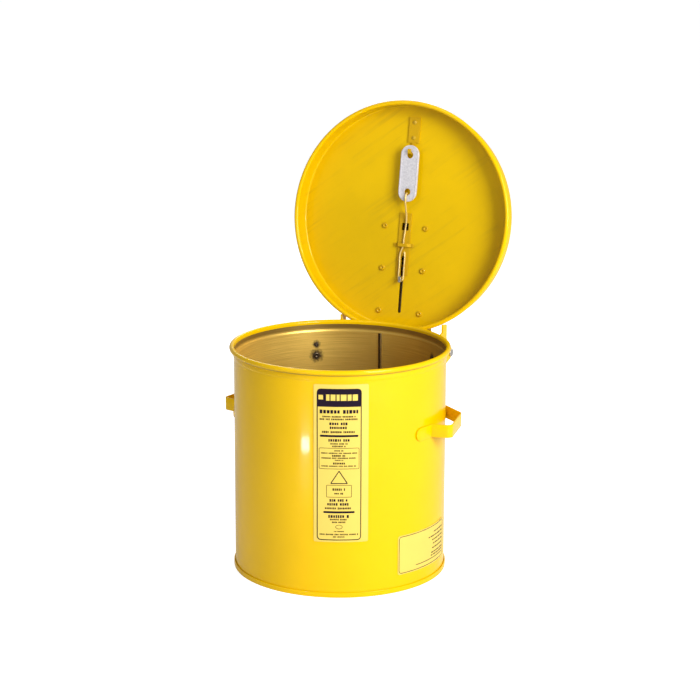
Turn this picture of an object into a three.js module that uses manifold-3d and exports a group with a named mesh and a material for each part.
// Parts washer tank: a round steel dip tank with two strap handles and a deep lid that swings
// back on a hinge pin and leans against the two hinge ears.
// Units are millimetres, +Z is up, and the front of the tank faces -Y.
// The tank is drawn standing on the floor at z = 0 and then moved down by the depth of its
// foot ring, so that the origin is the centre of the bottom panel's underside.
// The lid is drawn shut, in its own frame: origin in the middle of its rolled edge, +Y towards
// the hinge and +Z out through its top. One group then swings it open about the hinge pin.
import * as THREE from 'three';
import { mergeVertices } from 'three/addons/utils/BufferGeometryUtils.js';
import Module from 'manifold-3d';

const wasm = await Module();
wasm.setup();

// Driving dimensions
const GAP = 0.3;
const SHEET = 1;
const ROUND_STEPS = 72;

const TANK_R = 119;
const TANK_TOP = 256.4;
const RIM_BEAD_R = 2.8;
const RIM_BEAD_AT = 121.25;
const FOOT_DEPTH = 5;
const FOOT_SEAM_TOP = 5.6;

const HANDLE_WIDTH = 14.8;
const HANDLE_MIDDLE_Z = 174.5;
const HANDLE_ANGLE = 100;
const HANDLE_THICK = 1.6;
const HANDLE_REACH = 17.8;

const LABEL_INNER_R = TANK_R + GAP;
const LABEL_OUTER_R = TANK_R + 2.3 * GAP;

const PIVOT_Y = 140.7;
const PIVOT_Z = 234.8;
const PIN_R = 2.6;
const EAR_INNER_X = 64;
const EAR_THICK = 2;
const KICK_BAR_BACK = 27.5;
const KICK_BAR_DROP = 19.2;
const KICK_BAR_AT = [PIVOT_Y + KICK_BAR_BACK, PIVOT_Z - KICK_BAR_DROP];
const KICK_BAR_R = 3;

const LID_OPEN_ANGLE = 99.8;
const LID_EDGE_RISE = 1.5;
const LID_SKIRT_R = 133;
const LID_ROLL_AT = 134.1;
const LID_ROLL_R = 2.6;
const LID_DEPTH = 20.55;
const LID_CORNER_R = 3;

const BRACKET_BASE = LID_DEPTH + SHEET + GAP;
const BRACKET_THICK = 1.5;
const BRACKET_EAR_X = 40.2;
const HAT_HALF = 19;
const HAT_RISE = 17.6;
const RIVET_X = 26;
const RIVET_ROWS = [11.6, 61.9, 112.8];
const HOOK_RIVET_ROWS = [-112, -94];

const SLOT_HALF = 2;
const SLOT_START = 46;
const SLOT_END = 114;
const FINGER_Y = 72.2;
const WINDOW_HALF = 4.5;
const WINDOW_START = 7;
const WINDOW_END = 15.5;
const WIRE_R = 1;
const WIRE_Z = 17.7;
const LINK_SIDE = 2.7;
const LINK_LENGTH = 66.5;
const LINK_WIDTH = 22.4;
const LINK_MIDDLE_Y = -51.8;
const LINK_HOLE_R = 4.25;
const LINK_HOLE_OFFSET = 21.75;
const LINK_FRONT_Z = 10.8;
const LINK_PLATE = 0.9;
const LINK_SOLDER = 0.3;

// Materials
const paint = new THREE.MeshStandardMaterial({ color: 0xf2d400, roughness: 0.25, metalness: 0.1 });
const bareSteel = new THREE.MeshStandardMaterial({ color: 0x9a968c, roughness: 0.4, metalness: 0.9 });
const springSteel = new THREE.MeshStandardMaterial({ color: 0x4a4640, roughness: 0.4, metalness: 0.9 });
const tin = new THREE.MeshStandardMaterial({ color: 0xd8d8dc, roughness: 0.45, metalness: 0.7 });
const sticker = new THREE.MeshStandardMaterial({ color: 0xf6ec7a, roughness: 0.5, metalness: 0 });

// Solids: a closed geometry becomes a body that can be joined and cut, and the other way round.
function toSolid(geometry) {
  const bare = geometry.clone();
  bare.deleteAttribute('normal');
  bare.deleteAttribute('uv');
  const merged = mergeVertices(bare, 1e-4);
  const mesh = new wasm.Mesh({
    numProp: 3,
    vertProperties: new Float32Array(merged.attributes.position.array),
    triVerts: new Uint32Array(merged.index.array),
  });
  return new wasm.Manifold(mesh);
}

function toGeometry(solid) {
  const mesh = solid.getMesh();
  const geometry = new THREE.BufferGeometry();
  geometry.setAttribute('position', new THREE.BufferAttribute(mesh.vertProperties, 3));
  geometry.setIndex(new THREE.BufferAttribute(mesh.triVerts, 1));
  return geometry;
}

function join(...geometries) {
  return toGeometry(geometries.map(toSolid).reduce((all, next) => all.add(next)));
}

function cut(geometry, ...tools) {
  return toGeometry(tools.map(toSolid).reduce((left, tool) => left.subtract(tool), toSolid(geometry)));
}

// Shapes
const radians = THREE.MathUtils.degToRad;

function box(x0, x1, y0, y1, z0, z1) {
  const geometry = new THREE.BoxGeometry(x1 - x0, y1 - y0, z1 - z0);
  return geometry.translate((x0 + x1) / 2, (y0 + y1) / 2, (z0 + z1) / 2);
}

function rod(radius, from, to, sides = 24) {
  const start = new THREE.Vector3(...from);
  const run = new THREE.Vector3(...to).sub(start);
  const geometry = new THREE.CylinderGeometry(radius, radius, run.length(), sides);
  const turn = new THREE.Quaternion().setFromUnitVectors(new THREE.Vector3(0, 1, 0), run.clone().normalize());
  return geometry.applyQuaternion(turn).translate(...start.addScaledVector(run, 0.5).toArray());
}

// A ring or disc: the outline's points are [radius, height], anticlockwise, turned about +Z.
function turned(outline, steps = ROUND_STEPS) {
  const points = outline.map(([radius, height]) => new THREE.Vector2(radius, height));
  if (outline[0][0] > 0) {
    points.push(points[0].clone());
  }
  return new THREE.LatheGeometry(points, steps).rotateX(Math.PI / 2);
}

function arcPoints(centreA, centreB, radius, fromDegrees, toDegrees, steps) {
  const points = [];
  for (let i = 0; i <= steps; i += 1) {
    const angle = radians(fromDegrees + ((toDegrees - fromDegrees) * i) / steps);
    points.push([centreA + radius * Math.cos(angle), centreB + radius * Math.sin(angle)]);
  }
  return points;
}

function shapeOf(points) {
  return new THREE.Shape(points.map(([a, b]) => new THREE.Vector2(a, b)));
}

// A flat plate standing in the plane across X: the outline's points are [y, z].
function platesAcrossX(points, x0, x1) {
  const geometry = new THREE.ExtrudeGeometry(shapeOf(points), { depth: x1 - x0, bevelEnabled: false });
  const toYZ = new THREE.Matrix4().set(0, 0, 1, x0, 1, 0, 0, 0, 0, 1, 0, 0, 0, 0, 0, 1);
  return geometry.applyMatrix4(toYZ);
}

// A flat plate lying level: the outline's points are [x, y].
function levelPlate(points, z0, z1) {
  const geometry = new THREE.ExtrudeGeometry(shapeOf(points), { depth: z1 - z0, bevelEnabled: false });
  return geometry.translate(0, 0, z0);
}

// The outline of a bent strip of even thickness whose middle line runs through the points.
function stripOutline(points, thickness) {
  const path = points.map(([a, b]) => new THREE.Vector2(a, b));
  const side = [];
  const otherSide = [];
  path.forEach((point, i) => {
    const before = path[Math.max(i - 1, 0)];
    const after = path[Math.min(i + 1, path.length - 1)];
    const inward = point.clone().sub(before).normalize();
    const outward = after.clone().sub(point).normalize();
    const along = inward.add(outward).normalize();
    const straight = i === 0 || i === path.length - 1;
    const step = straight ? along : after.clone().sub(point).normalize();
    const reach = thickness / 2 / Math.max(along.dot(step), 0.3);
    side.push([point.x - along.y * reach, point.y + along.x * reach]);
    otherSide.unshift([point.x + along.y * reach, point.y - along.x * reach]);
  });
  return side.concat(otherSide);
}

function roundedSlot(halfWidth, y0, y1, steps = 8) {
  const top = arcPoints(0, y1 - halfWidth, halfWidth, 0, 180, steps);
  const bottom = arcPoints(0, y0 + halfWidth, halfWidth, 180, 360, steps);
  return top.concat(bottom);
}

// A round wire along a smooth line through the points.
function wireAlong(points, radius, steps, sides = 8) {
  const path = new THREE.CatmullRomCurve3(points.map((point) => new THREE.Vector3(...point)));
  const section = shapeOf(arcPoints(0, 0, radius, 0, 360 - 360 / sides, sides - 1));
  return new THREE.ExtrudeGeometry(section, { steps, extrudePath: path, bevelEnabled: false });
}

// A curved plate on the tank's wall between two angles, counted from the front towards +X.
function wallPatch(inner, outer, fromAngle, toAngle, z0, z1, steps = 12) {
  const outside = arcPoints(0, 0, outer, fromAngle - 90, toAngle - 90, steps);
  const inside = arcPoints(0, 0, inner, toAngle - 90, fromAngle - 90, steps);
  return levelPlate(outside.concat(inside), z0, z1);
}

function named(name, geometry, material) {
  const mesh = new THREE.Mesh(geometry, material);
  mesh.name = name;
  return mesh;
}

// Tank: the wall is one rolled sheet with its top edge curled outwards into a bead.
function tankWall() {
  const inner = TANK_R - SHEET;
  const beadZ = TANK_TOP - RIM_BEAD_R;
  const bead = arcPoints(RIM_BEAD_AT, beadZ, RIM_BEAD_R, -140, 180, 16);
  const outline = [[inner, FOOT_DEPTH / 4], [TANK_R, FOOT_DEPTH / 4], [TANK_R, bead[0][1]]];
  return turned([...outline, ...bead, [inner, beadZ - 1]]);
}

// The bottom is a pressed disc whose edge is folded under and up round the foot of the wall.
function tankBottom() {
  const legOuter = TANK_R - SHEET - GAP;
  const seamInner = TANK_R + GAP;
  const seamOuter = seamInner + 1.4;
  return turned([
    [0, FOOT_DEPTH],
    [legOuter - SHEET - 1, FOOT_DEPTH],
    [legOuter - SHEET, FOOT_DEPTH - 1],
    [legOuter - SHEET, 0.4],
    [legOuter - 0.4, 0],
    [seamOuter - 0.6, 0],
    [seamOuter, 0.6],
    [seamOuter, FOOT_SEAM_TOP - 0.5],
    [seamOuter - 0.5, FOOT_SEAM_TOP],
    [seamInner, FOOT_SEAM_TOP],
    [seamInner, SHEET - GAP / 2],
    [legOuter, SHEET - GAP / 2],
    [legOuter, FOOT_DEPTH + SHEET],
    [0, FOOT_DEPTH + SHEET],
  ]);
}

// Handle: a flat strap bent out from the wall, with a tab welded on at each end. Its front leg
// stands square to the wall and its rear leg slopes back to it.
function handle() {
  const tabR = TANK_R + GAP + HANDLE_THICK / 2;
  const gripX = TANK_R + HANDLE_REACH - HANDLE_THICK / 2;
  const rearTab = arcPoints(0, 0, tabR, 33, 21.5, 4);
  const rearBend = arcPoints(gripX - 12, 12.5, 12, 41, 0, 4);
  const frontBend = arcPoints(gripX - 6, -31.5, 6, 0, -86, 4);
  const frontTab = arcPoints(0, 0, tabR, -18.5, -31.5, 4);
  const outline = stripOutline([...rearTab, ...rearBend, ...frontBend, ...frontTab], HANDLE_THICK);
  const z0 = HANDLE_MIDDLE_Z - HANDLE_WIDTH / 2;
  const strap = levelPlate(outline, z0, z0 + HANDLE_WIDTH);
  return strap.rotateZ(radians(HANDLE_ANGLE - 90));
}

// Hinge ear: a plate standing out from the wall, with a flange that is welded to the wall.
// Its sloping top edge is the stop that the open lid leans on.
function hingeEar(side) {
  const bottomZ = PIVOT_Z - 37;
  const topZ = PIVOT_Z - 5;
  const plate = platesAcrossX([
    [101, bottomZ],
    [130, bottomZ],
    [158, bottomZ + 8],
    [168, bottomZ + 10.5],
    [173.5, bottomZ + 14],
    [174.7, bottomZ + 18],
    [172.5, bottomZ + 22.5],
    [160, topZ],
    [156, PIVOT_Z + 1],
    [156, PIVOT_Z + 17.3],
    [144, PIVOT_Z + 19.4],
    [144, PIVOT_Z + 10],
    [135, PIVOT_Z + 8],
    [129, PIVOT_Z + 2],
    [124, topZ],
    [101, topZ],
  ], EAR_INNER_X, EAR_INNER_X + EAR_THICK);
  const flange = wallPatch(TANK_R + GAP, TANK_R + GAP + EAR_THICK, 135, 147.6, bottomZ, topZ, 6);
  const pinHole = rod(PIN_R + GAP, [EAR_INNER_X - 5, PIVOT_Y, PIVOT_Z], [EAR_INNER_X + 9, PIVOT_Y, PIVOT_Z]);
  const barHole = rod(KICK_BAR_R + GAP, [EAR_INNER_X - 5, ...KICK_BAR_AT],
    [EAR_INNER_X + 9, ...KICK_BAR_AT]);
  const ear = cut(join(plate, flange), pinHole, barHole);
  return side > 0 ? ear : mirrorX(ear);
}

function mirrorX(geometry) {
  const flipped = toGeometry(toSolid(geometry)).scale(-1, 1, 1);
  const index = flipped.index.array;
  for (let i = 0; i < index.length; i += 3) {
    [index[i + 1], index[i + 2]] = [index[i + 2], index[i + 1]];
  }
  return flipped;
}

function hingePin() {
  const earOuter = EAR_INNER_X + EAR_THICK;
  const shaft = rod(PIN_R, [-earOuter - 2, PIVOT_Y, PIVOT_Z], [earOuter + 4, PIVOT_Y, PIVOT_Z]);
  const head = rod(5, [-earOuter - 2.6, PIVOT_Y, PIVOT_Z], [-earOuter - GAP, PIVOT_Y, PIVOT_Z]);
  return join(shaft, head);
}

function pinRetainer() {
  const x0 = EAR_INNER_X + EAR_THICK + GAP;
  const washer = rod(6, [x0, PIVOT_Y, PIVOT_Z], [x0 + 1.2, PIVOT_Y, PIVOT_Z]);
  return cut(washer, rod(PIN_R + GAP, [x0 - 1, PIVOT_Y, PIVOT_Z], [x0 + 2.4, PIVOT_Y, PIVOT_Z]));
}

function pinSpacer(side) {
  const ends = [BRACKET_EAR_X + BRACKET_THICK + GAP, EAR_INNER_X - GAP].map((x) => x * side);
  const tube = rod(4.6, [ends[0], PIVOT_Y, PIVOT_Z], [ends[1], PIVOT_Y, PIVOT_Z]);
  const bore = rod(PIN_R + GAP, [ends[0] - side, PIVOT_Y, PIVOT_Z], [ends[1] + side, PIVOT_Y, PIVOT_Z]);
  return cut(tube, bore);
}

function kickBar() {
  const earOuter = EAR_INNER_X + EAR_THICK;
  const middle = rod(KICK_BAR_R, [-earOuter - 1, ...KICK_BAR_AT], [earOuter + 1, ...KICK_BAR_AT]);
  const heads = [-1, 1].map((side) => {
    const from = [side * (earOuter + GAP), ...KICK_BAR_AT];
    return rod(KICK_BAR_R + 1.6, from, [side * (earOuter + 1.9), ...KICK_BAR_AT]);
  });
  return join(middle, ...heads);
}

// Lid: a shallow pan with a rolled edge. A long slot and a square window open into the bracket.
function lidPan() {
  const inner = LID_SKIRT_R - SHEET;
  const top = LID_DEPTH + SHEET;
  const roll = arcPoints(LID_ROLL_AT, 0, LID_ROLL_R, 144, -180, 16).reverse();
  const innerCorner = LID_CORNER_R - SHEET;
  const pan = turned([
    [0, LID_DEPTH],
    ...arcPoints(inner - innerCorner, LID_DEPTH - innerCorner, innerCorner, 90, 0, 3),
    ...roll,
    ...arcPoints(LID_SKIRT_R - LID_CORNER_R, top - LID_CORNER_R, LID_CORNER_R, 0, 90, 3),
    [0, top],
  ]);
  const slot = levelPlate(roundedSlot(SLOT_HALF, SLOT_START - 2, SLOT_END), LID_DEPTH - 2, top + 2);
  return cut(pan, slot, windowThrough(LID_DEPTH, top), ...rivetHoles());
}

// The square window that the pan and the guide strip share.
function windowThrough(z0, z1) {
  return box(-WINDOW_HALF, WINDOW_HALF, WINDOW_START, WINDOW_END, z0 - 1, z1 + 1);
}

function rivetHoles() {
  const holes = [];
  for (const y of RIVET_ROWS) {
    for (const x of [-RIVET_X, RIVET_X]) {
      holes.push(rod(2.4, [x, y, LID_DEPTH - 2], [x, y, BRACKET_BASE + 4], 12));
    }
  }
  return holes;
}

// Lid bracket: a hat-shaped channel riveted to the lid's top, with an ear for the pin each side.
function lidBracket() {
  const z0 = BRACKET_BASE;
  const z1 = BRACKET_BASE + BRACKET_THICK;
  const top = BRACKET_BASE + HAT_RISE;
  const flanges = box(-34, 34, -4, 134, z0, z1);
  const hat = box(-HAT_HALF, HAT_HALF, -4, 136, z0, top);
  const hollowHalf = HAT_HALF - BRACKET_THICK;
  const hollow = box(-hollowHalf, hollowHalf, -4 + BRACKET_THICK, 140, z0 - 1, top - BRACKET_THICK);
  const foot = box(-BRACKET_EAR_X - BRACKET_THICK, BRACKET_EAR_X + BRACKET_THICK, 124, 149, z0, z1);
  const pivotZ = -LID_EDGE_RISE;
  const ears = [-1, 1].map((side) => {
    const xs = [side * BRACKET_EAR_X, side * (BRACKET_EAR_X + BRACKET_THICK)].sort((a, b) => a - b);
    const nose = arcPoints(PIVOT_Y, pivotZ, 9, 180, 360, 10);
    return platesAcrossX([...nose, [PIVOT_Y + 9, z1], [PIVOT_Y - 9, z1]], ...xs);
  });
  const body = cut(join(flanges, hat), hollow);
  const pinHole = rod(PIN_R + GAP, [-60, PIVOT_Y, pivotZ], [60, PIVOT_Y, pivotZ]);
  return cut(join(body, foot, ...ears), pinHole, ...rivetHoles());
}

function rivet(x, y) {
  const innerFace = LID_DEPTH - GAP;
  const outerFace = BRACKET_BASE + BRACKET_THICK + GAP;
  const body = turned([
    [0, innerFace - 1.7],
    [1.6, innerFace - 1.6],
    [2.8, innerFace - 1.1],
    [3.5, innerFace],
    [2, innerFace],
    [2, outerFace],
    [3.5, outerFace],
    [2.6, outerFace + 1.1],
    [0, outerFace + 1.5],
  ], 16);
  return body.translate(x, y, 0);
}

// Hook plate: riveted near the lid's front edge, it steps inwards to a narrow tongue that the
// fusible link hangs on.
function hookPlate() {
  const z = LID_DEPTH - GAP - 0.75;
  const flat = box(-6.8, 6.8, -118, -88, z - 0.75, z + 0.75);
  const tongue = stripOutline([
    [-90, z],
    [-85, z],
    [-80.5, 15.4],
    [-76, 15.3],
    [-75.7, 8.6],
    [-80.5, 8],
  ], 1.3);
  const holes = HOOK_RIVET_ROWS.map((y) => rod(1.6, [0, y, z - 2], [0, y, z + 2], 12));
  return cut(join(flat, platesAcrossX(tongue, -2.1, 2.1)), ...holes).translate(LINK_SIDE, 0, 0);
}

function hookPlateRivet(y) {
  const top = LID_DEPTH - GAP - 1.5 - GAP;
  const body = turned([
    [0, top - 1.1],
    [1.5, top - 0.9],
    [2.4, top],
    [1.3, top],
    [1.3, LID_DEPTH - GAP],
    [0, LID_DEPTH - GAP],
  ], 14);
  return body.translate(LINK_SIDE, y, 0);
}

function linkPlate(z0) {
  const half = LINK_LENGTH / 2;
  const outline = roundedSlot(LINK_WIDTH / 2, LINK_MIDDLE_Y - half, LINK_MIDDLE_Y + half, 12);
  const holes = [-1, 1].map((end) => {
    const y = LINK_MIDDLE_Y + end * LINK_HOLE_OFFSET;
    return rod(LINK_HOLE_R, [0, y, z0 - 1], [0, y, z0 + LINK_PLATE + 1], 20);
  });
  return cut(levelPlate(outline, z0, z0 + LINK_PLATE), ...holes).translate(LINK_SIDE, 0, 0);
}

function linkSolder() {
  const z0 = LINK_FRONT_Z + LINK_PLATE + GAP;
  const [y0, y1] = [LINK_MIDDLE_Y - 14, LINK_MIDDLE_Y + 14];
  return box(LINK_SIDE - 8, LINK_SIDE + 8, y0, y1, z0, z0 + LINK_SOLDER);
}

// Release wire: hooked through the link, it runs down the lid and ends in a long narrow loop
// round the finger of the kicker.
function releaseWire() {
  const half = 3;
  const loopEnd = arcPoints(0, FINGER_Y + 0.4, half, 180, 0, 6).map(([x, y]) => [x, y, WIRE_Z]);
  return wireAlong([
    [3.4, -20.5, 16.4],
    [2.8, -24.5, 15.9],
    [2.3, -27.6, 13.6],
    [2.1, -27.9, 10.6],
    [2.1, -24.5, 8.6],
    [2.2, -18, 9],
    [2.3, -9, 12.6],
    [2.2, 0, 16.2],
    [1.6, 8, WIRE_Z],
    [0.4, 24, WIRE_Z],
    [-0.6, 36, WIRE_Z],
    [-half, 43, WIRE_Z],
    [-half, 58, WIRE_Z],
    ...loopEnd,
    [half, 58, WIRE_Z],
    [half, 46, WIRE_Z],
    [2.2, 41, WIRE_Z],
  ], WIRE_R, 90);
}

function guideStrip() {
  const z1 = LID_DEPTH - GAP;
  const z0 = z1 - 1.1;
  const strip = box(-7.5, 7.5, -5, 68.5, z0, z1);
  const fork = box(-SLOT_HALF, SLOT_HALF, SLOT_START, 70, z0 - 1, z1 + 1);
  return cut(strip, windowThrough(z0, z1), fork);
}

function wireBridge() {
  const foot = LID_DEPTH - GAP - 0.5;
  const arch = WIRE_Z - WIRE_R - GAP - 0.7;
  const outline = stripOutline([[-12.4, foot], [-9, foot], [-5.5, arch], [5.5, arch], [9, foot], [12.4, foot]], 1);
  const alongY = new THREE.Matrix4().set(1, 0, 0, 0, 0, 0, -1, 35, 0, 1, 0, 0, 0, 0, 0, 1);
  const geometry = new THREE.ExtrudeGeometry(shapeOf(outline), { depth: 4, bevelEnabled: false });
  return geometry.applyMatrix4(alongY);
}

// Kicker: a slide inside the lid bracket. Its finger comes in through the slot, and when the
// link lets go its spring drives it down on the kick bar, which throws the lid forwards.
function kickerSlide() {
  const z0 = BRACKET_BASE + 4.6;
  const plate = box(-14, 14, 66, 128, z0, z0 + 2);
  const seat = box(-9, 9, 66, 68, z0, z0 + 10);
  const finger = box(-1.5, 1.5, FINGER_Y - 1.8, FINGER_Y + 1.6, 13.4, z0 + 1);
  const fingerHook = box(-1.5, 1.5, FINGER_Y - 1.8, FINGER_Y + 5.2, 13.4, 15);
  return join(plate, seat, finger, fingerHook);
}

function kickerSpring() {
  const middleZ = BRACKET_BASE + 8.8;
  const coilR = 4.6;
  const turns = 11;
  const stepsPerTurn = 12;
  const from = -0.8;
  const to = 64.2;
  const points = [];
  for (let i = 0; i <= turns * stepsPerTurn; i += 1) {
    const angle = (2 * Math.PI * i) / stepsPerTurn;
    const y = from + ((to - from) * i) / (turns * stepsPerTurn);
    points.push([coilR * Math.cos(angle), y, middleZ + coilR * Math.sin(angle)]);
  }
  return wireAlong(points, 0.8, turns * stepsPerTurn, 6);
}

// Assembly
const tank = new THREE.Group();
tank.add(named('tank_wall', tankWall(), paint));
tank.add(named('tank_bottom', tankBottom(), paint));
tank.add(named('right_handle', handle(), paint));
tank.add(named('left_handle', mirrorX(handle()), paint));
tank.add(named('main_label', wallPatch(LABEL_INNER_R, LABEL_OUTER_R, 11, 39.6, 63.7, 240.5), sticker));
tank.add(named('side_label', wallPatch(LABEL_INNER_R, LABEL_OUTER_R, 57, 100, 19, 64), sticker));
tank.add(named('hinge_ear_right', hingeEar(1), paint));
tank.add(named('hinge_ear_left', hingeEar(-1), paint));
tank.add(named('hinge_pin', hingePin(), bareSteel));
tank.add(named('pin_retainer', pinRetainer(), springSteel));
tank.add(named('pin_spacer_right', pinSpacer(1), springSteel));
tank.add(named('pin_spacer_left', pinSpacer(-1), springSteel));
tank.add(named('kick_bar', kickBar(), bareSteel));

const lid = new THREE.Group();
lid.position.set(0, -PIVOT_Y, LID_EDGE_RISE);
lid.add(named('lid_pan', lidPan(), paint));
lid.add(named('lid_bracket', lidBracket(), paint));
RIVET_ROWS.forEach((y, row) => {
  lid.add(named(`lid_rivet_left_${row + 1}`, rivet(-RIVET_X, y), paint));
  lid.add(named(`lid_rivet_right_${row + 1}`, rivet(RIVET_X, y), paint));
});
lid.add(named('hook_plate', hookPlate(), paint));
lid.add(named('hook_rivet_front', hookPlateRivet(HOOK_RIVET_ROWS[0]), paint));
lid.add(named('hook_rivet_back', hookPlateRivet(HOOK_RIVET_ROWS[1]), paint));
const linkBackZ = LINK_FRONT_Z + LINK_PLATE + LINK_SOLDER + 2 * GAP;
lid.add(named('link_front_plate', linkPlate(LINK_FRONT_Z), tin));
lid.add(named('link_back_plate', linkPlate(linkBackZ), tin));
lid.add(named('link_solder', linkSolder(), tin));
lid.add(named('release_wire', releaseWire(), bareSteel));
lid.add(named('guide_strip', guideStrip(), paint));
lid.add(named('wire_bridge', wireBridge(), paint));
lid.add(named('kicker_slide', kickerSlide(), bareSteel));
lid.add(named('kicker_spring', kickerSpring(), springSteel));

const lidSwing = new THREE.Group();
lidSwing.position.set(0, PIVOT_Y, PIVOT_Z);
lidSwing.rotation.x = -radians(LID_OPEN_ANGLE);
lidSwing.add(lid);

const group = new THREE.Group();
group.position.z = -FOOT_DEPTH;
group.add(tank, lidSwing);

export default group;
